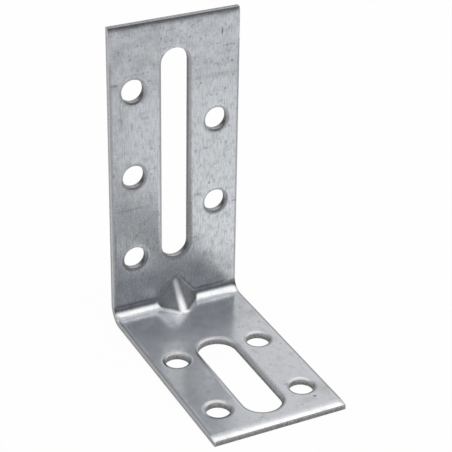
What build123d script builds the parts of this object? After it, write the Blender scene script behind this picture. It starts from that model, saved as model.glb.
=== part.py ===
from build123d import *

import math
import os

# An angle bracket pressed from one strip of galvanised steel sheet, in millimetres.
# It stands on its base leg, with the wall leg rising at the back. X runs across its
# width. The legs' outer faces are the planes Y = 0 and Z = 0 until the last step,
# which moves the origin to the middle of the bracket's footprint. The skin is the
# strip's inner side, from which every cut in it was punched or sheared.

# Strip and fold
sheet_thickness = 1.5
bracket_width = 30.0
wall_leg_height = 70.0
base_leg_length = 52.0
inner_bend_radius = 2.6

# Gusset: a ridge raised in the corner, and a dent of the same form in the heel.
# The ridge runs this far past the ends of the bend, up the wall leg and along the base leg.
# Between them it is slightly hollow, as an arc whose centre is out in front of the corner.
gusset_wall_run = 4.0
gusset_base_run = 2.8
gusset_ridge_hollow_radius = 30.0
gusset_included_angle = 112.0
gusset_punch_radius = 0.6
gusset_root_radius = 1.2

# Round screw holes: staggered from side to side up the wall leg, in pairs on the base leg
screw_hole_diameter = 5.2
wall_hole_heel_distance = 15.2
wall_hole_stagger = 10.0
wall_hole_tip_margin = 10.0
base_hole_heel_distance = 23.1
base_hole_tip_distance = 9.3

# Adjustment slots on the centre line, between a distance from the heel and one from the tip
wall_slot_width = 6.5
wall_slot_heel_distance = 13.3
wall_slot_tip_distance = 6.7
base_slot_width = 8.7
base_slot_heel_distance = 18.7
base_slot_tip_distance = 4.3

# How far cutting draws the skin down: at punched rims and slit sides, and at the legs' sheared tips.
# A rim's roll blends into the flat skin. Two neighbouring rims leave some flat skin between them,
# and the blend's radius stays under the bend's where a side runs round it.
rim_roll_depth = 0.2
rim_roll_width = 0.5
rim_blend_width = 0.4
rim_share_of_land = 0.45
blend_share_of_bend = 0.8
tip_roll_depth = 0.3
tip_roll_width = 2.0


def rounded_at(profile, corner, radius):
    """The profile with one of its corners rounded."""
    vertex = profile.vertices().sort_by_distance((corner[0], corner[1], 0))[0]
    return fillet(vertex, radius)


def block_profile():
    """The full height and length of the bracket, with the heel's outer radius."""
    block = make_face(
        Polyline(
            (0, 0),
            (0, wall_leg_height),
            (-base_leg_length, wall_leg_height),
            (-base_leg_length, 0),
            close=True,
        )
    )
    return rounded_at(block, (0, 0), inner_bend_radius + sheet_thickness)


def corner_profile(depth):
    """The space in front of the wall leg and over the base leg, from this depth in the sheet."""
    corner = Rectangle(base_leg_length, wall_leg_height, align=(Align.MAX, Align.MIN))
    corner = Pos(-depth, depth) * corner
    return rounded_at(corner, (-depth, depth), inner_bend_radius + sheet_thickness - depth)


def skin_profile():
    """The space that the skin bounds, widened by the roll at the two sheared tips."""
    skin = sheet_thickness
    wall_line = Line((-skin, skin), (-skin, wall_leg_height - tip_roll_width))
    base_line = Line((-skin, skin), (tip_roll_width - base_leg_length, skin))
    wall_tip = (tip_roll_depth - skin, wall_leg_height)
    base_tip = (-base_leg_length, skin - tip_roll_depth)
    wall_roll = TangentArc(wall_line @ 1, wall_tip, tangent=(0, 1))
    base_roll = TangentArc(base_line @ 1, base_tip, tangent=(-1, 0))
    far_height, far_length = 2 * wall_leg_height, -2 * base_leg_length
    far_side = Polyline(
        wall_tip,
        (wall_tip[0], far_height),
        (far_length, far_height),
        (far_length, base_tip[1]),
        base_tip,
    )
    space = make_face([wall_line, wall_roll, far_side, base_roll, base_line])
    return rounded_at(space, (-skin, skin), inner_bend_radius)


def rim_roll():
    """A rolled rim's width and the radius that blends it into the skin, as its land allows."""
    land = hole_column() - (base_slot_width + screw_hole_diameter) / 2
    full_width = rim_roll_width + rim_blend_width
    fit = min(1, rim_share_of_land * land / full_width)
    slope = math.atan2(rim_roll_depth, rim_roll_width * fit)
    return rim_roll_width * fit, rim_blend_width * fit / math.tan(slope / 2)


def folded_strip():
    """The strip, sheared to length and folded, with the skin rolled down along its sides."""
    block = extrude(Plane.YZ * block_profile(), bracket_width / 2)
    space = extrude(Plane.YZ * skin_profile(), bracket_width)
    half = block - space
    side_face = half.faces().sort_by(Axis.X)[-1]
    arrises = new_edges(block, space, combined=half)
    roll_width, blend_radius = rim_roll()
    sloped = chamfer(arrises, rim_roll_depth, roll_width, reference=side_face)
    crests = new_edges(half, combined=sloped).group_by(Axis.X)[0]
    half = fillet(crests, min(blend_radius, blend_share_of_bend * inner_bend_radius))
    return half + mirror(half, Plane.YZ)


def gusset_roof(skin_depth):
    """A long hollow roof with a rounded crest, this deep in the sheet below the gusset's ridge."""
    half_angle = math.radians(gusset_included_angle / 2)
    crest_radius = gusset_punch_radius + sheet_thickness - skin_depth
    rise = inner_bend_radius + gusset_wall_run
    reach = inner_bend_radius + gusset_base_run
    chord = math.hypot(rise, reach)
    centre_offset = math.sqrt(gusset_ridge_hollow_radius**2 - (chord / 2) ** 2)
    arc_centre = (
        0,
        -sheet_thickness - reach / 2 - centre_offset * rise / chord,
        sheet_thickness + rise / 2 + centre_offset * reach / chord,
    )
    crest = -(gusset_ridge_hollow_radius + skin_depth)
    sharp_crest = crest + crest_radius * (1 / math.sin(half_angle) - 1)
    eaves = -(gusset_ridge_hollow_radius + chord + 2 * sheet_thickness)
    half_span = (sharp_crest - eaves) * math.tan(half_angle)
    section = make_face(
        Polyline((0, sharp_crest), (half_span, eaves), (-half_span, eaves), close=True)
    )
    section = rounded_at(section, (0, sharp_crest), crest_radius)
    across_ridge = Plane(origin=arc_centre, x_dir=(1, 0, 0), z_dir=(0, -reach, -rise))
    hinge = Axis(arc_centre, (1, 0, 0))
    sweep = math.degrees(3 * chord / gusset_ridge_hollow_radius)
    return revolve(across_ridge * section, hinge, sweep).rotate(hinge, -sweep / 2)


def press_gusset(strip):
    """Raise the ridge in the corner, and sink the dent behind it through the same thickness."""
    corner_space = Plane.YZ * corner_profile(sheet_thickness / 2)
    ridge = gusset_roof(0) & extrude(corner_space, bracket_width / 2, both=True)
    raised = strip + ridge
    roots = new_edges(strip, ridge, combined=raised)
    raised = fillet(roots, gusset_root_radius)
    dent = gusset_roof(sheet_thickness)
    pressed = raised - dent
    lips = new_edges(raised, dent, combined=pressed)
    return fillet(lips, gusset_root_radius + sheet_thickness)


def hole_column():
    """How far the hole columns stand from the centre line: midway between the wide slot and the side."""
    return (base_slot_width + bracket_width) / 4


def slot(start, end, width):
    """The outline of a slot with round ends, upwards in the sketch."""
    return Pos(0, (start + end) / 2) * SlotOverall(abs(end - start), width, rotation=90)


def wall_openings():
    """The wall leg's openings, seen from inside the corner with height upwards."""
    hole = Circle(screw_hole_diameter / 2)
    last = wall_leg_height - wall_hole_tip_margin
    count = math.floor((last - wall_hole_heel_distance) / wall_hole_stagger) + 1
    holes = []
    for index in range(count):
        side = -1 if index % 2 == 0 else 1
        height = wall_hole_heel_distance + wall_hole_stagger * index
        holes.append(Pos(side * hole_column(), height) * hole)
    slot_end = wall_leg_height - wall_slot_tip_distance
    return holes + [slot(wall_slot_heel_distance, slot_end, wall_slot_width)]


def base_openings():
    """The base leg's openings, seen from above with the wall leg upwards."""
    hole = Circle(screw_hole_diameter / 2)
    rows = (-base_hole_heel_distance, base_hole_tip_distance - base_leg_length)
    holes = [Pos(side * hole_column(), row) * hole for side in (-1, 1) for row in rows]
    slot_end = base_slot_tip_distance - base_leg_length
    return holes + [slot(-base_slot_heel_distance, slot_end, base_slot_width)]


def punch(sheet, skin_plane, openings):
    """Punch openings through a leg from its skin, and roll their rims down on that side."""
    outwards = Axis(skin_plane.origin, skin_plane.z_dir)
    roll_width, blend_radius = rim_roll()
    for opening in openings:
        slug = extrude(skin_plane * opening, sheet_thickness, both=True)
        punched = sheet - slug
        rims = new_edges(sheet, slug, combined=punched).group_by(outwards)[-1]
        skin_face = punched.faces().filter_by(skin_plane).sort_by_distance(rims[0])[0]
        sloped = chamfer(rims, roll_width, rim_roll_depth, reference=skin_face)
        crests = new_edges(punched, combined=sloped).group_by(outwards)[-1]
        sheet = fillet(crests, blend_radius)
    return sheet


def angle_bracket():
    """The whole bracket, with its origin under the middle of its footprint."""
    wall_skin = Plane(origin=(0, -sheet_thickness, 0), x_dir=(1, 0, 0), z_dir=(0, -1, 0))
    base_skin = Plane(origin=(0, 0, sheet_thickness), x_dir=(1, 0, 0), z_dir=(0, 0, 1))
    bracket = press_gusset(folded_strip())
    bracket = punch(bracket, wall_skin, wall_openings())
    bracket = punch(bracket, base_skin, base_openings())
    return Pos(0, base_leg_length / 2, 0) * bracket


os.makedirs("parts", exist_ok=True)
bracket = angle_bracket()
export_step(bracket, "parts/angle_bracket.step")
print("angle_bracket", "volume", round(bracket.volume, 1), "valid", bracket.is_valid)
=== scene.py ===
import math

import bpy
from mathutils import Matrix, Vector


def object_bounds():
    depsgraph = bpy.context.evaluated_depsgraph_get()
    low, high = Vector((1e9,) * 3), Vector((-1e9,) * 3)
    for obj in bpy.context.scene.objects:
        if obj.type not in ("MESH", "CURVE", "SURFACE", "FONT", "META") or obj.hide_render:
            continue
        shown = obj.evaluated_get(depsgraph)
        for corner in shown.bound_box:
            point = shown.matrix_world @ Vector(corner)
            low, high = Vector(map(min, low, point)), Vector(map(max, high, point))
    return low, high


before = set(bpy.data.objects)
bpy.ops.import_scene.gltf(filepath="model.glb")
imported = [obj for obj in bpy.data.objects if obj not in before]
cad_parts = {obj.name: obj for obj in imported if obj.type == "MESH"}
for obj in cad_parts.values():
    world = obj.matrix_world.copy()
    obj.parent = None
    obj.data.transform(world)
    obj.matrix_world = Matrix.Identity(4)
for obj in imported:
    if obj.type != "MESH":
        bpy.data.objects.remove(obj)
cad_low, cad_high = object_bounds()

# Sizes of the folded sheet, in metres, as the material needs them. The heel is at the back and
# the bottom of the part's box, and the two legs run forwards and upwards from it. The tips are
# given along the strip, where the wall leg's tip is within 0.02 mm of the height of the box.
SHEET = 0.0015
INNER_BEND_RADIUS = 0.0026
BEND_LENGTH = INNER_BEND_RADIUS * math.pi / 2
HEEL_Y = cad_high.y
BEND_AXIS_Y = HEEL_Y - SHEET - INNER_BEND_RADIUS
BEND_AXIS_Z = SHEET + INNER_BEND_RADIUS
WALL_TIP = cad_high.z
BASE_TIP = cad_low.y - BEND_AXIS_Y
HALF_WIDTH = cad_high.x
HALF_LENGTH = cad_high.y

# Colours of the zinc skin, which drifts between two cool greys and is painted paler on the wall leg
# as painted light, of the dirt on it, of the painted shade and painted highlights on it, and of the
# cut edges, where a die has burnished the first part of the cut and the rest broke away dull
WHITE = (1.0, 1.0, 1.0, 1.0)
ZINC_GREY = (0.665, 0.68, 0.7, 1.0)
ZINC_BLUE = (0.63, 0.655, 0.73, 1.0)
# A paler zinc, painted over the wall leg as painted light
ZINC_PAINTED_LIGHT = (0.8, 0.83, 0.865, 1.0)
# Grey of the streaks, clouds and grime, and of the painted shade in the fold
STREAK_AND_SHADE_GREY = (0.45, 0.47, 0.505, 1.0)
# Painted shade on the rolled rims
RIM_SHADE_GREY = (0.4, 0.41, 0.43, 1.0)
# Dark grey for dirt, and for painted shade along the wall leg's tip and in its openings
DIRT_AND_SHADE = (0.15, 0.15, 0.165, 1.0)
STAIN = (0.17, 0.13, 0.12, 1.0)
# Pale zinc for the bare specks, and for the painted highlights on and below the gusset's foot
BARE_SPECK_AND_HIGHLIGHT = (0.85, 0.86, 0.88, 1.0)
BURNISHED = (0.54, 0.545, 0.56, 1.0)
FRACTURED = (0.5, 0.5, 0.515, 1.0)
SLIT_SIDE = (0.78, 0.785, 0.8, 1.0)

# Below, a size is that of a noise's bumps, in metres across the strip, along it and down into it.
# A ramp has the two values between which it goes, with places and depths in metres, and then what
# it gives at each of them, where that isn't 0 and 1.

# Where the inner skin ends in the sheet's depth, how far a cut edge may face outwards, where the
# strip's long edges and the ridge of the gusset start, and a small step away from the bend's axis
# that gives the gusset an outward direction too
SKIN_ENDS = (SHEET * 0.3, SHEET * 0.5, 1.0, 0.0)
CUT_FACING = (0.15, 0.3, 1.0, 0.0)
SIDE_STARTS = (HALF_WIDTH - 0.0003, HALF_WIDTH - 0.0001)
RIDGE_STARTS = (-0.0012, -0.0004, 1.0, 0.0)
OUTWARD_STEP = SHEET / 15

# The zinc skin's colour, its bright flecks, a painted highlight on the foot of the ridge, and painted
# shade on the rolled rims, which ends before the rolled tips of the legs
DRIFT_SIZE = (0.006, 0.014, 0.01)
DRIFT = (0.42, 0.6)
BASE_DRIFT_SHARE = 0.2
STREAK_SIZE = (0.00026, 0.0022, 0.001)
STREAKS = (0.42, 0.7, 0.0, 0.55)
BASE_STREAK_SHARE = 0.15
CLOUD_SIZE = (0.0016, 0.0022, 0.002)
CLOUDS = (0.48, 0.75, 0.0, 0.7)
# The wall leg is painted paler than the base leg, and most towards its right side, as painted light
TOWARDS_RIGHT = (-0.012, 0.01, 0.7, 1.0)
FLECK_SIZE = (0.0005, 0.0005, 0.0005)
FLECKS = (0.56, 0.7, 0.0, 0.5)
# A painted highlight on the foot of the gusset's ridge
RIDGE_FOOT_HIGHLIGHT = (-0.002, 0.0035, 0.6, 0.0)
RIM_ROLL = (0.0, 0.00009, 0.0, 0.85)
WALL_TIP_ROLL = (WALL_TIP - 0.0085, WALL_TIP - 0.007, 1.0, 0.0)
BASE_TIP_ROLL = (BASE_TIP + 0.0015, BASE_TIP + 0.0025)

# Grime, painted shade in the fold, smudges, dots and a line of painted shade along the wall leg's
# tip. The dots lie one to a cell, and their radius is a share of the cell's size.
GRIME_AND_SHADE_SIZE = (0.0035, 0.0025, 0.003)
GRIME_AND_SHADE_PATCHES = (0.35, 0.7, 0.35, 1.0)
TIP_GRIME = (WALL_TIP - 0.021, WALL_TIP - 0.013)
TIP_GRIME_LEFT_SHARE = 1.5
TIP_GRIME_RIGHT_SHARE = 0.5
SIDE_GRIME = (-0.012, -0.0095, 0.5, 0.0)
# Painted shade near the fold, on both legs
FOLD_SHADE = (0.009, 0.014, 0.62, 0.0)
SMUDGE_SIZE = (0.0006, 0.0008, 0.001)
SMUDGES = (0.5, 0.72, 0.0, 0.55)
SMUDGE_PATCH_SIZE = (0.0045, 0.003, 0.004)
SMUDGE_PATCHES = (0.48, 0.68)
SMUDGED_TIP = (WALL_TIP * 0.6, WALL_TIP, 0.0, 0.12)
DOT_CELLS_PER_METRE = 360.0
DOT_RADIUS = (0.06, 0.13, 1.0, 0.0)
DOTTED_PATCH_SIZE = (0.008, 0.01, 0.01)
DOTTED_PATCHES = (0.42, 0.62, 0.0, 0.5)
# A line of painted shade along the wall leg's tip
ARRIS_SHADE_SIZE = (0.0022, 0.02, 0.02)
ARRIS_SHADE_WANDERS = 0.0007
ARRIS_SHADE = (WALL_TIP - 0.0004, WALL_TIP, 0.0, 0.5)

# The zinc skin's roughness, which is lowest at the bend
BEND_POLISH_ENDS = (BEND_LENGTH * 0.1, BEND_LENGTH * 0.55)
BEND_ROUGHNESS = 0.15
RIDGE_ROUGHNESS = 0.28
WALL_ROUGHNESS = (0.7, 1.3, 0.22, 0.33)
BASE_ROUGHNESS = (0.3, 0.7, 0.16, 0.22)

# The cut edges: the border between the burnished band and the break, the striations down the cut,
# the pits, and the openings and long edges that differ from the rest, with painted shade on the
# sides of the wall leg's openings
BREAK_SIZE = (0.0006, 0.0006, 0.01)
BREAK_DEPTH = SHEET * 0.1
BREAK_WANDERS = SHEET * 0.7
BREAK_BORDER = (-0.00008, 0.00008)
STRIATION_SIZE = (0.00025, 0.00025, 0.0015)
STRIATIONS = (0.35, 0.75)
BURNISHED_STRIATION_SHARE = 0.3
FRACTURED_STRIATION_SHARE = 0.6
STRIATION_RELIEF = 2.0
PIT_SIZE = (0.0004, 0.0004, 0.0004)
PITS = (0.64, 0.7, 0.0, 0.8)
BASE_SIDE_PALE_SHARE = 0.7
WALL_SIDE_PALE_SHARE = 0.15
FACING_SIDEWAYS = (0.3, 0.9)
WALL_SLOT_SHADE_SHARE = 0.75
BURNISHED_ROUGHNESS = 0.32
FRACTURED_ROUGHNESS = 0.5

# The sheet's slight waves, and the height of its grain
WAVE_SIZE = (0.014, 0.016, 0.01)
WAVE_HEIGHT = 0.00005
GRAIN_HEIGHT = 0.000004

# Marks on the skin, in millimetres across the strip and along it from the base leg's end of the
# bend, so that the wall leg is positive. Each has its half width, half length and strength.
DIRT_MARKS = (
    (12.0, 61.9, 0.25, 0.3, 0.75),
    (13.2, 58.2, 0.25, 0.25, 0.83),
    (11.7, 52.0, 0.22, 0.22, 0.75),
    (8.4, 51.0, 0.3, 0.25, 0.45),
    (6.4, 50.6, 0.2, 0.35, 0.38),
    (-10.3, 62.4, 0.35, 0.3, 0.45),
    (-8.0, 57.0, 0.9, 0.3, 0.33),
    (-6.0, 56.9, 0.5, 0.25, 0.38),
    (-13.9, 57.2, 0.9, 0.35, 0.52),
    (-13.0, 63.5, 1.3, 2.0, 0.24),
    (-12.7, 52.0, 0.25, 4.5, 0.21),
    (-7.0, 48.6, 1.2, 0.4, 0.27),
    (-12.4, 49.1, 0.25, 1.1, 0.3),
    (-10.1, 47.2, 0.3, 0.9, 0.33),
    (12.8, 42.9, 0.3, 0.25, 0.6),
    (10.9, 39.3, 0.2, 0.2, 0.52),
    (7.2, 38.6, 0.9, 0.25, 0.38),
    (4.8, 38.4, 0.5, 0.3, 0.38),
    (8.1, 30.0, 0.3, 0.35, 0.6),
    (5.3, 27.7, 0.7, 0.25, 0.45),
    (14.2, 24.2, 0.5, 0.3, 0.52),
    (12.6, 19.2, 0.25, 0.25, 0.45),
    (4.9, 17.1, 0.3, 0.3, 0.38),
    (7.0, 12.2, 0.25, 0.8, 0.38),
    (8.8, 9.5, 0.3, 0.25, 0.52),
    (-5.8, 35.1, 0.25, 0.3, 0.45),
    (-14.4, 36.5, 0.3, 0.6, 0.52),
    (-10.5, 27.5, 4.8, 0.22, 0.3),
    (8.8, 55.5, 5.6, 0.6, 0.15),
    (10.5, -42.9, 0.4, 0.3, 0.9),
    (7.1, -36.6, 0.45, 0.16, 0.9),
    (-2.8, -44.8, 0.3, 0.25, 0.45),
    (13.3, -22.7, 0.3, 0.25, 0.38),
    (7.6, -28.8, 0.25, 0.25, 0.38),
)
STAIN_MARKS = (
    (10.8, 65.3, 0.24, 0.9, 0.75),
    (13.4, -41.3, 1.8, 2.6, 0.2),
    (8.6, -43.4, 2.2, 1.1, 0.16),
)
# Bare specks, and a painted reflection below the gusset's foot
BARE_SPECKS_AND_REFLECTION = (
    (-10.2, -11.7, 0.45, 0.25, 0.7),
    (1.5, -13.1, 0.2, 0.3, 0.6),
    (5.7, -5.2, 0.2, 0.25, 0.5),
    (-5.4, -1.4, 0.25, 0.35, 0.5),
    # A painted reflection: the pale V on the base leg below the gusset's foot, where it mirrors the ridge
    (-3.0, -3.0, 2.2, 2.4, 0.9),
)

# A mark fades between these multiples of its half size, and a noise makes its border uneven
MARK_BORDER_SIZE = (0.0004, 0.0004, 0.0004)
MARK_FADE_STARTS = 0.7
MARK_FADE_ENDS = 2.0
MILLIMETRES = 1000

# The camera, at the photograph's viewing angle, with angles in degrees and its lens in millimetres
CAMERA_AZIMUTH = -27.0
CAMERA_ELEVATION = 29.32
CAMERA_ROLL = 0.98
CAMERA_DISTANCE = 0.3464
CAMERA_TARGET = Vector((0.00555, 0.011, 0.02658))
CAMERA_LENS = 129.5
CAMERA_NEAREST = 0.01

# The studio. Its light follows an arc from the dim room in front, over a bright ceiling and down
# a white backdrop, and falls off to both sides. Towards the sides the ceiling's light starts
# higher, and straight overhead it is weaker in the middle and on the left. The backdrop is
# brighter on the right, and dims towards the table.
ROOM_LIGHT = 0.165
ROOM_TINT = (0.965, 0.99, 1.03, 1.0)
CEILING_LIGHT = 1.65
CEILING_TINT = (1.0, 0.97, 0.925, 1.0)
CEILING_STARTS = math.radians(20.0)
CEILING_FULL = math.radians(61.0)
CEILING_CLIMB = math.radians(28.0)
CEILING_FRONT = math.radians(62.0)
CEILING_TOP = math.radians(80.0)
CEILING_BACK = math.radians(91.0)
CEILING_REAR = math.radians(107.0)
CEILING_LEFT = 0.1
CEILING_RIGHT = 0.32
CEILING_TOP_LOSS = 0.4
BACKDROP_STARTS = math.radians(114.0)
BACKDROP_FULL = math.radians(145.0)
BACKDROP_DIMS = math.radians(147.0)
BACKDROP_FOOT = math.radians(172.0)
BACKDROP_FOOT_SHARE = 0.5
BACKDROP_MIDDLE = 0.05
BACKDROP_LEFT = 0.3
BACKDROP_RIGHT = 0.44
BACKDROP_DIM = 0.36
BACKDROP_SHADE = 0.54
BACKDROP_SHARE = 0.83
LEFT_DIMS = 0.15
LEFT_DIM = 0.8
RIGHT_DIMS = 0.65
RIGHT_DIM = 1.0

# The white table that the bracket stands on. Where metal mirrors it, it glows less than to the
# camera, and not at all under the bracket. Its white is a little weaker in front of the bracket
# and fades into the dim room far off, and near the bracket it mirrors that room at a slant.
FLOOR_SIZE = 4.0
FLOOR_COLOUR = (0.88, 0.88, 0.88, 1.0)
FLOOR_GLOW = 0.96
MIRRORED_GLOW = 0.6
CONTACT_REACH = 0.006
TABLE_ENDS = -1.6
TABLE_FADES = -0.04
TABLE_FRONT = -0.035
TABLE_NEAR = -0.005
FRONT_SHARE = 0.9
GLOSS_NEAR = 0.08
GLOSS_FAR = 0.25
GLOSS_SHARE = 0.85
GLOSS_SLANT = (0.53, 0.78)


class Nodes:
    """Short ways to add linked shader nodes to one node tree."""

    def __init__(self, tree):
        self.tree = tree
        tree.nodes.clear()

    def add(self, kind, inputs=(), **settings):
        """A node with these settings, whose inputs are given by place or name."""
        node = self.tree.nodes.new(kind)
        for name, value in settings.items():
            setattr(node, name, value)
        for key, value in dict(inputs).items():
            self.join(value, node.inputs[key])
        return node

    def join(self, value, socket):
        """Feeds a socket from another node's output, or sets it to a plain value."""
        if isinstance(value, bpy.types.NodeSocket):
            self.tree.links.new(value, socket)
        else:
            socket.default_value = value

    def math(self, operation, *values, clamp=False):
        """One number worked out from others."""
        node = self.add("ShaderNodeMath", enumerate(values), operation=operation, use_clamp=clamp)
        return node.outputs[0]

    def vector(self, operation, *values):
        """One vector, or its length or product, worked out from others."""
        node = self.add("ShaderNodeVectorMath", enumerate(values), operation=operation)
        return node.outputs["Value" if operation in ("LENGTH", "DOT_PRODUCT") else "Vector"]

    def combine(self, x, y, z):
        """A vector from three numbers."""
        return self.add("ShaderNodeCombineXYZ", enumerate((x, y, z))).outputs[0]

    def split(self, vector):
        """The three numbers of a vector."""
        return self.add("ShaderNodeSeparateXYZ", {0: vector}).outputs[:3]

    def ramp(self, value, low, high, out_low=0.0, out_high=1.0):
        """A smooth step from one number to another as value goes from low to high."""
        inputs = {"Value": value, "From Min": low, "From Max": high, "To Min": out_low, "To Max": out_high}
        node = self.add("ShaderNodeMapRange", inputs, interpolation_type="SMOOTHSTEP")
        return node.outputs[0]

    def noise(self, place, size, detail=2.0, roughness=0.5):
        """Smooth noise between 0 and 1, with bumps of this size in metres along each axis."""
        scaled = self.vector("MULTIPLY", place, tuple(1.0 / length for length in size))
        inputs = {"Vector": scaled, "Scale": 1.0, "Detail": detail, "Roughness": roughness}
        return self.add("ShaderNodeTexNoise", inputs).outputs["Fac"]

    def mix(self, share, first, second):
        """A colour between two others."""
        inputs = {0: share, 6: first, 7: second}
        return self.add("ShaderNodeMix", inputs, data_type="RGBA").outputs[2]

    def blend(self, share, first, second):
        """A number between two others."""
        return self.add("ShaderNodeMix", {0: share, 2: first, 3: second}).outputs[0]


class Strip:
    """Where a shaded point lies in the folded strip.

    place is across the strip, along it from the base leg's end of the bend, and down from its skin,
    and flat is the same without the depth. on_wall is 0 on the base leg and 1 on the wall leg. skin
    is 1 on the inner side of the fold and 0 on the outer one, and ridge is 1 on the gusset inside it.
    cut is 1 on the edges that were cut through the strip and 0 on its inner and outer sides.
    side_facing is 1 where the surface faces sideways, and side is 1 on the strip's two long edges.
    """

    def __init__(self, nodes):
        texture = nodes.add("ShaderNodeTexCoord").outputs
        across, y, z = nodes.split(texture["Object"])
        behind = nodes.math("SUBTRACT", y, BEND_AXIS_Y)
        above = nodes.math("SUBTRACT", z, BEND_AXIS_Z)
        back = nodes.math("MAXIMUM", behind, 0.0)
        down = nodes.math("MINIMUM", above, 0.0)
        turn = nodes.math("ARCTAN2", back, nodes.math("MULTIPLY", down, -1.0))
        round_bend = nodes.math("MULTIPLY", turn, INNER_BEND_RADIUS)
        wall_run = nodes.math("MAXIMUM", above, 0.0)
        base_run = nodes.math("MINIMUM", behind, 0.0)
        along = nodes.math("ADD", nodes.math("ADD", wall_run, base_run), round_bend)
        radius = nodes.vector("LENGTH", nodes.combine(0.0, back, down))
        self.depth = nodes.math("SUBTRACT", radius, INNER_BEND_RADIUS)
        self.across = across
        self.along = along
        self.place = nodes.combine(across, along, self.depth)
        self.flat = nodes.combine(across, along, 0.0)
        self.on_wall = nodes.ramp(along, 0.0, BEND_LENGTH)
        self.skin = nodes.ramp(self.depth, *SKIN_ENDS)
        self.ridge = nodes.ramp(self.depth, *RIDGE_STARTS)
        outwards = nodes.combine(
            0.0,
            nodes.math("ADD", back, OUTWARD_STEP),
            nodes.math("SUBTRACT", down, OUTWARD_STEP),
        )
        facing = nodes.vector("DOT_PRODUCT", texture["Normal"], nodes.vector("NORMALIZE", outwards))
        self.cut = nodes.ramp(nodes.math("ABSOLUTE", facing), *CUT_FACING)
        self.side_facing = nodes.math("ABSOLUTE", nodes.split(texture["Normal"])[0])
        self.side = nodes.ramp(nodes.math("ABSOLUTE", across), *SIDE_STARTS)


def marks(nodes, strip, places):
    """How strongly a set of marks shows at a point of the skin, from 0 to 1."""
    wobble = nodes.noise(strip.place, MARK_BORDER_SIZE)
    total = 0.0
    for across, along, half_width, half_length, strength in places:
        centre = (-across / MILLIMETRES, -along / MILLIMETRES, 0.0)
        offset = nodes.vector("ADD", strip.flat, centre)
        half_sizes = (MILLIMETRES / half_width, MILLIMETRES / half_length, 0.0)
        scaled = nodes.vector("MULTIPLY", offset, half_sizes)
        distance = nodes.math("ADD", nodes.vector("LENGTH", scaled), wobble)
        mark = nodes.ramp(distance, MARK_FADE_STARTS, MARK_FADE_ENDS, strength, 0.0)
        total = nodes.math("ADD", total, mark)
    return nodes.math("MULTIPLY", total, strip.skin, clamp=True)


def speckle(nodes, strip):
    """Sparse fine dark dots, each in a cell of its own, and fewer of them where the skin is clean."""
    cells = nodes.add("ShaderNodeTexVoronoi", {"Vector": strip.place, "Scale": DOT_CELLS_PER_METRE})
    dot = nodes.ramp(cells.outputs["Distance"], *DOT_RADIUS)
    dirtier = nodes.noise(strip.place, DOTTED_PATCH_SIZE, detail=1.0)
    return nodes.math("MULTIPLY", dot, nodes.ramp(dirtier, *DOTTED_PATCHES))


def grime_and_fold_shade(nodes, strip, towards_right):
    """A thin grey film in patches: grime on the wall leg's tip and left side, painted shade in the fold.
    """
    patch = nodes.noise(strip.place, GRIME_AND_SHADE_SIZE, detail=4.0, roughness=0.6)
    tip_share = nodes.blend(towards_right, TIP_GRIME_LEFT_SHARE, TIP_GRIME_RIGHT_SHARE)
    tip = nodes.math("MULTIPLY", nodes.ramp(strip.along, *TIP_GRIME), tip_share)
    side = nodes.ramp(strip.across, *SIDE_GRIME)
    # Painted shade near the fold
    fold_shade = nodes.ramp(nodes.math("ABSOLUTE", strip.along), *FOLD_SHADE)
    grime_and_shade = nodes.math("MAXIMUM", nodes.math("MAXIMUM", tip, side), fold_shade)
    return nodes.math("MULTIPLY", grime_and_shade, nodes.ramp(patch, *GRIME_AND_SHADE_PATCHES))


def mottle(nodes, strip):
    """Small soft dark smudges that gather in patches, most of them towards the wall leg's tip."""
    smudge = nodes.noise(strip.place, SMUDGE_SIZE, detail=3.0, roughness=0.65)
    patch = nodes.noise(strip.place, SMUDGE_PATCH_SIZE)
    near_tip = nodes.ramp(strip.along, *SMUDGED_TIP)
    gathered = nodes.ramp(nodes.math("ADD", patch, near_tip), *SMUDGE_PATCHES)
    return nodes.math("MULTIPLY", nodes.ramp(smudge, *SMUDGES), gathered)


def shaded_arris(nodes, strip):
    """A dark uneven line of painted shade on the skin along the sheared arris of the wall leg's tip."""
    wobble = nodes.noise(strip.place, ARRIS_SHADE_SIZE)
    reach = nodes.math("MULTIPLY_ADD", wobble, ARRIS_SHADE_WANDERS, strip.along)
    return nodes.math("MULTIPLY", nodes.ramp(reach, *ARRIS_SHADE), strip.skin)


def between_tips(nodes, strip):
    """1 on the strip between the rolled ends of its legs, and 0 on those."""
    wall = nodes.ramp(strip.along, *WALL_TIP_ROLL)
    base = nodes.ramp(strip.along, *BASE_TIP_ROLL)
    return nodes.math("MULTIPLY", wall, base)


def zinc_colour(nodes, strip, streak, cloud):
    """Drifting, streaked and clouded zinc, painted lighter on the wall leg, under grime and painted shade.
    """
    drift = nodes.noise(strip.place, DRIFT_SIZE, detail=3.0)
    drift_share = nodes.blend(strip.on_wall, BASE_DRIFT_SHARE, 1.0)
    bluer = nodes.math("MULTIPLY", nodes.ramp(drift, *DRIFT), drift_share)
    colour = nodes.mix(bluer, ZINC_GREY, ZINC_BLUE)
    towards_right = nodes.ramp(strip.across, *TOWARDS_RIGHT)
    # Painted light: the wall leg is painted paler, and most towards its right side
    colour = nodes.mix(nodes.math("MULTIPLY", towards_right, strip.on_wall), colour, ZINC_PAINTED_LIGHT)
    streak_share = nodes.blend(strip.on_wall, BASE_STREAK_SHARE, 1.0)
    streaked = nodes.math("MULTIPLY", nodes.ramp(streak, *STREAKS), streak_share)
    colour = nodes.mix(streaked, colour, STREAK_AND_SHADE_GREY)
    colour = nodes.mix(nodes.ramp(cloud, *CLOUDS), colour, STREAK_AND_SHADE_GREY)
    return nodes.mix(grime_and_fold_shade(nodes, strip, towards_right), colour, STREAK_AND_SHADE_GREY)


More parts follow.
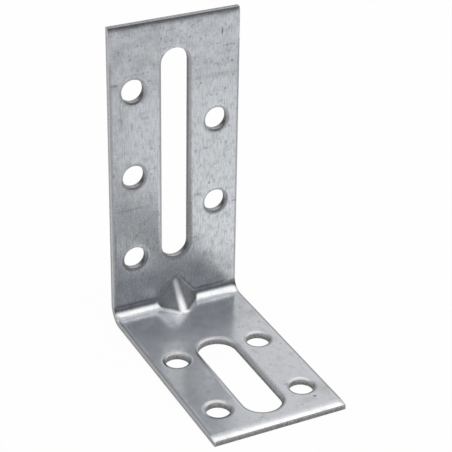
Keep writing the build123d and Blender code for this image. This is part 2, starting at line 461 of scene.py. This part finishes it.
def worn_colour(nodes, strip, colour):
    """Adds smudges, bright flecks, a painted highlight on the ridge's foot and painted shade on the rims.
    """
    smudged = nodes.math("MULTIPLY", mottle(nodes, strip), strip.on_wall)
    colour = nodes.mix(smudged, colour, DIRT_AND_SHADE)
    fleck = nodes.noise(strip.place, FLECK_SIZE, detail=3.0, roughness=0.6)
    on_base = nodes.math("SUBTRACT", 1.0, strip.on_wall)
    bare = nodes.math("MULTIPLY", nodes.ramp(fleck, *FLECKS), on_base)
    colour = nodes.mix(bare, colour, BARE_SPECK_AND_HIGHLIGHT)
    # Painted highlight: the foot of the gusset's ridge is painted pale
    painted_foot_highlight = nodes.math("MULTIPLY", strip.ridge, nodes.ramp(strip.along, *RIDGE_FOOT_HIGHLIGHT))
    colour = nodes.mix(painted_foot_highlight, colour, BARE_SPECK_AND_HIGHLIGHT)
    # Painted shade: the rolled rims are darkened, short of the legs' rolled tips
    rolled = nodes.math("MULTIPLY", nodes.ramp(strip.depth, *RIM_ROLL), strip.skin)
    rim_shade = nodes.math("MULTIPLY", rolled, between_tips(nodes, strip))
    return nodes.mix(rim_shade, colour, RIM_SHADE_GREY)


def marked_colour(nodes, strip, colour):
    """A colour under spots and lines of dirt, painted shade, stains, lone bare specks, a painted
    reflection.
    """
    dirt_and_shade = nodes.math("MAXIMUM", marks(nodes, strip, DIRT_MARKS), speckle(nodes, strip))
    # Painted shade along the wall leg's tip
    dirt_and_shade = nodes.math("MAXIMUM", dirt_and_shade, shaded_arris(nodes, strip))
    colour = nodes.mix(dirt_and_shade, colour, DIRT_AND_SHADE)
    colour = nodes.mix(marks(nodes, strip, STAIN_MARKS), colour, STAIN)
    return nodes.mix(marks(nodes, strip, BARE_SPECKS_AND_REFLECTION), colour, BARE_SPECK_AND_HIGHLIGHT)


def zinc_roughness(nodes, strip, cloud, relief):
    """The coat's roughness: lowest at the bend, and higher on the wall leg and the gusset's ridge."""
    from_bend = nodes.math("ABSOLUTE", nodes.math("SUBTRACT", strip.along, BEND_LENGTH / 2))
    on_legs = nodes.ramp(from_bend, *BEND_POLISH_ENDS)
    grainy = nodes.ramp(relief, *WALL_ROUGHNESS)
    smooth = nodes.ramp(cloud, *BASE_ROUGHNESS)
    roughness = nodes.blend(on_legs, BEND_ROUGHNESS, nodes.blend(strip.on_wall, smooth, grainy))
    return nodes.blend(strip.ridge, roughness, RIDGE_ROUGHNESS)


def zinc_skin(nodes, strip):
    """The zinc coat's colour, roughness and relief: clean grain with streaks, specks and dirt."""
    streak = nodes.noise(strip.place, STREAK_SIZE, detail=4.0, roughness=0.6)
    cloud = nodes.noise(strip.place, CLOUD_SIZE, detail=5.0, roughness=0.65)
    relief = nodes.math("ADD", streak, cloud)
    colour = zinc_colour(nodes, strip, streak, cloud)
    colour = worn_colour(nodes, strip, colour)
    colour = marked_colour(nodes, strip, colour)
    return colour, zinc_roughness(nodes, strip, cloud, relief), relief


def cut_edge(nodes, strip):
    """A cut edge's colour, roughness and relief: a burnished band, then a ragged dull break.

    The strip's long edges are paler, and the sides of the wall leg's openings get painted shade.
    """
    ragged = nodes.noise(strip.place, BREAK_SIZE, detail=3.0)
    break_depth = nodes.math("MULTIPLY_ADD", ragged, BREAK_WANDERS, BREAK_DEPTH)
    broken = nodes.ramp(nodes.math("SUBTRACT", strip.depth, break_depth), *BREAK_BORDER)
    colour = nodes.mix(broken, BURNISHED, FRACTURED)
    striation = nodes.noise(strip.place, STRIATION_SIZE, detail=3.0, roughness=0.6)
    striation_share = nodes.blend(broken, BURNISHED_STRIATION_SHARE, FRACTURED_STRIATION_SHARE)
    striated = nodes.math("MULTIPLY", nodes.ramp(striation, *STRIATIONS), striation_share)
    colour = nodes.mix(striated, colour, DIRT_AND_SHADE)
    pits = nodes.noise(strip.place, PIT_SIZE, roughness=0.7)
    colour = nodes.mix(nodes.ramp(pits, *PITS), colour, DIRT_AND_SHADE)
    pale_share = nodes.blend(strip.on_wall, BASE_SIDE_PALE_SHARE, WALL_SIDE_PALE_SHARE)
    colour = nodes.mix(nodes.math("MULTIPLY", strip.side, pale_share), colour, SLIT_SIDE)
    # Painted shade on the sides of the wall leg's openings
    inside = nodes.math("SUBTRACT", nodes.ramp(strip.side_facing, *FACING_SIDEWAYS), strip.side)
    in_wall_slot = nodes.math("MULTIPLY", inside, strip.on_wall)
    colour = nodes.mix(nodes.math("MULTIPLY", in_wall_slot, WALL_SLOT_SHADE_SHARE), colour, DIRT_AND_SHADE)
    roughness = nodes.blend(broken, BURNISHED_ROUGHNESS, FRACTURED_ROUGHNESS)
    return colour, roughness, nodes.math("MULTIPLY", striation, STRIATION_RELIEF)


def galvanised_steel():
    """Zinc-coated sheet: a semi-gloss skin, burnished at the bend, and duller cut edges."""
    material = bpy.data.materials.new("galvanised_steel")
    material.use_nodes = True
    nodes = Nodes(material.node_tree)
    strip = Strip(nodes)
    skin_colour, skin_roughness, skin_relief = zinc_skin(nodes, strip)
    cut_colour, cut_roughness, cut_relief = cut_edge(nodes, strip)
    colour = nodes.mix(strip.cut, skin_colour, cut_colour)
    roughness = nodes.blend(strip.cut, skin_roughness, cut_roughness)
    relief = nodes.blend(strip.cut, skin_relief, cut_relief)
    wave = nodes.noise(strip.place, WAVE_SIZE, detail=1.0)
    waves = nodes.add("ShaderNodeBump", {"Strength": 1.0, "Distance": WAVE_HEIGHT, "Height": wave})
    grain = nodes.add(
        "ShaderNodeBump",
        {"Strength": 1.0, "Distance": GRAIN_HEIGHT, "Height": relief, "Normal": waves.outputs[0]},
    )
    shader = nodes.add(
        "ShaderNodeBsdfPrincipled",
        {"Base Color": colour, "Metallic": 1.0, "Roughness": roughness, "Normal": grain.outputs[0]},
    )
    nodes.add("ShaderNodeOutputMaterial", {"Surface": shader.outputs[0]})
    return material


def by_ray(nodes, straight, mirrored):
    """One number for what is seen straight on or through glass, another for what metal mirrors."""
    ray = nodes.add("ShaderNodeLightPath").outputs
    direct = nodes.math("MAXIMUM", ray["Is Camera Ray"], ray["Is Transmission Ray"])
    return nodes.blend(direct, mirrored, straight)


def ceiling_share(nodes, arc, sideways):
    """How much of the ceiling's light comes from a direction, before the backdrop covers it."""
    climb = nodes.math("MULTIPLY", nodes.math("MULTIPLY", sideways, sideways), CEILING_CLIMB)
    share = nodes.ramp(nodes.math("SUBTRACT", arc, climb), CEILING_STARTS, CEILING_FULL)
    top = nodes.ramp(arc, CEILING_FRONT, CEILING_TOP, 0.0, CEILING_TOP_LOSS)
    top = nodes.math("MULTIPLY", top, nodes.ramp(arc, CEILING_BACK, CEILING_REAR, 1.0, 0.0))
    weaker = nodes.ramp(sideways, CEILING_LEFT, CEILING_RIGHT, 1.0, 0.0)
    loss = nodes.math("MULTIPLY", top, weaker)
    return nodes.math("MULTIPLY", share, nodes.math("SUBTRACT", 1.0, loss))


def backdrop_white(nodes, arc, sideways):
    """How white the backdrop is in a direction where metal mirrors it."""
    left = nodes.ramp(sideways, BACKDROP_MIDDLE, BACKDROP_LEFT, BACKDROP_DIM, BACKDROP_SHADE)
    white = nodes.blend(nodes.ramp(sideways, BACKDROP_LEFT, BACKDROP_RIGHT), left, BACKDROP_SHARE)
    foot = nodes.ramp(arc, BACKDROP_DIMS, BACKDROP_FOOT, 1.0, BACKDROP_FOOT_SHARE)
    return nodes.math("MULTIPLY", white, foot)


def studio_world():
    """A dim room in front, a bright ceiling and a white backdrop, which is all that the camera sees."""
    world = bpy.data.worlds.new("studio")
    bpy.context.scene.world = world
    world.use_nodes = True
    nodes = Nodes(world.node_tree)
    direction = nodes.add("ShaderNodeTexCoord").outputs["Generated"]
    sideways, backwards, upwards = nodes.split(direction)
    arc = nodes.math("ARCTAN2", upwards, nodes.math("MULTIPLY", backwards, -1.0))
    left = nodes.ramp(sideways, -LEFT_DIM, -LEFT_DIMS)
    right = nodes.ramp(sideways, RIGHT_DIMS, RIGHT_DIM, 1.0, 0.0)
    side = nodes.math("MULTIPLY", left, right)
    behind = nodes.ramp(arc, BACKDROP_STARTS, BACKDROP_FULL)
    ceiling = ceiling_share(nodes, arc, sideways)
    overhead = nodes.math("MULTIPLY", ceiling, nodes.math("SUBTRACT", 1.0, behind))
    overhead = nodes.math("MULTIPLY", overhead, side)
    light = nodes.blend(overhead, ROOM_LIGHT, CEILING_LIGHT)
    tint = nodes.mix(overhead, ROOM_TINT, CEILING_TINT)
    backdrop = nodes.math("MULTIPLY", behind, backdrop_white(nodes, arc, sideways))
    backdrop = nodes.math("MULTIPLY", backdrop, side)
    room = nodes.add("ShaderNodeBackground", {"Color": tint, "Strength": light}).outputs[0]
    white = nodes.add("ShaderNodeBackground", {"Color": WHITE, "Strength": 1.0}).outputs[0]
    surface = nodes.add("ShaderNodeMixShader", {0: by_ray(nodes, 1.0, backdrop), 1: room, 2: white})
    nodes.add("ShaderNodeOutputWorld", {"Surface": surface.outputs[0]})


def table_white(nodes, sideways, forwards):
    """How much of the table's white shows at a place where metal mirrors it, against the dim room."""
    place = nodes.combine(sideways, forwards, 0.0)
    near = nodes.ramp(nodes.vector("LENGTH", place), GLOSS_NEAR, GLOSS_FAR, GLOSS_SHARE, 0.0)
    facing = nodes.add("ShaderNodeLayerWeight", {"Blend": 0.5}).outputs["Facing"]
    gloss = nodes.math("MULTIPLY", near, nodes.ramp(facing, *GLOSS_SLANT))
    white = nodes.ramp(forwards, TABLE_ENDS, TABLE_FADES)
    front = nodes.ramp(forwards, TABLE_FRONT, TABLE_NEAR, FRONT_SHARE, 1.0)
    white = nodes.math("MULTIPLY", white, front)
    return nodes.math("MULTIPLY", white, nodes.math("SUBTRACT", 1.0, gloss))


def mirrored_glow(nodes, sideways, forwards):
    """How much the table glows where metal mirrors it, from nothing under the bracket."""
    past_side = nodes.math("SUBTRACT", nodes.math("ABSOLUTE", sideways), HALF_WIDTH)
    past_end = nodes.math("SUBTRACT", nodes.math("ABSOLUTE", forwards), HALF_LENGTH)
    away = nodes.math("MAXIMUM", past_side, past_end)
    return nodes.ramp(away, 0.0, CONTACT_REACH, 0.0, MIRRORED_GLOW)


def pale_table():
    """The table's material: white with a soft shadow, and the dim room where it has faded."""
    material = bpy.data.materials.new("pale_floor")
    material.use_nodes = True
    nodes = Nodes(material.node_tree)
    sideways, forwards, _ = nodes.split(nodes.add("ShaderNodeTexCoord").outputs["Object"])
    matte = nodes.add("ShaderNodeBsdfDiffuse", {"Color": FLOOR_COLOUR}).outputs[0]
    glow = nodes.add("ShaderNodeEmission", {"Color": WHITE, "Strength": 1.0}).outputs[0]
    glowing = by_ray(nodes, FLOOR_GLOW, mirrored_glow(nodes, sideways, forwards))
    white = nodes.add("ShaderNodeMixShader", {0: glowing, 1: matte, 2: glow}).outputs[0]
    room = nodes.add("ShaderNodeEmission", {"Color": ROOM_TINT, "Strength": ROOM_LIGHT}).outputs[0]
    share = by_ray(nodes, 1.0, table_white(nodes, sideways, forwards))
    surface = nodes.add("ShaderNodeMixShader", {0: share, 1: room, 2: white})
    nodes.add("ShaderNodeOutputMaterial", {"Surface": surface.outputs[0]})
    return material


def pale_floor():
    """The white table that the bracket stands on."""
    bpy.ops.mesh.primitive_plane_add(size=FLOOR_SIZE)
    floor = bpy.context.object
    floor.name = "floor"
    floor.data.materials.append(pale_table())


def camera():
    """The camera, from its angles round the part and its distance from the target."""
    azimuth, elevation, roll = map(math.radians, (CAMERA_AZIMUTH, CAMERA_ELEVATION, CAMERA_ROLL))
    level = math.cos(elevation)
    back = Vector((math.sin(azimuth) * level, -math.cos(azimuth) * level, math.sin(elevation)))
    right = Vector((math.cos(azimuth), math.sin(azimuth), 0.0))
    up = back.cross(right)
    right, up = (
        right * math.cos(roll) + up * math.sin(roll),
        up * math.cos(roll) - right * math.sin(roll),
    )
    data = bpy.data.cameras.new("camera")
    data.lens = CAMERA_LENS
    data.clip_start = CAMERA_NEAREST
    holder = bpy.data.objects.new("camera", data)
    bpy.context.collection.objects.link(holder)
    turn = Matrix((right, up, back)).transposed().to_4x4()
    holder.matrix_world = Matrix.Translation(CAMERA_TARGET + back * CAMERA_DISTANCE) @ turn
    bpy.context.scene.camera = holder


def dress_bracket():
    """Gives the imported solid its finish."""
    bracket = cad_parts["angle_bracket"]
    bracket.data.materials.clear()
    bracket.data.materials.append(galvanised_steel())


camera()
studio_world()
pale_floor()
dress_bracket()
bpy.context.scene.view_settings.view_transform = "Standard"
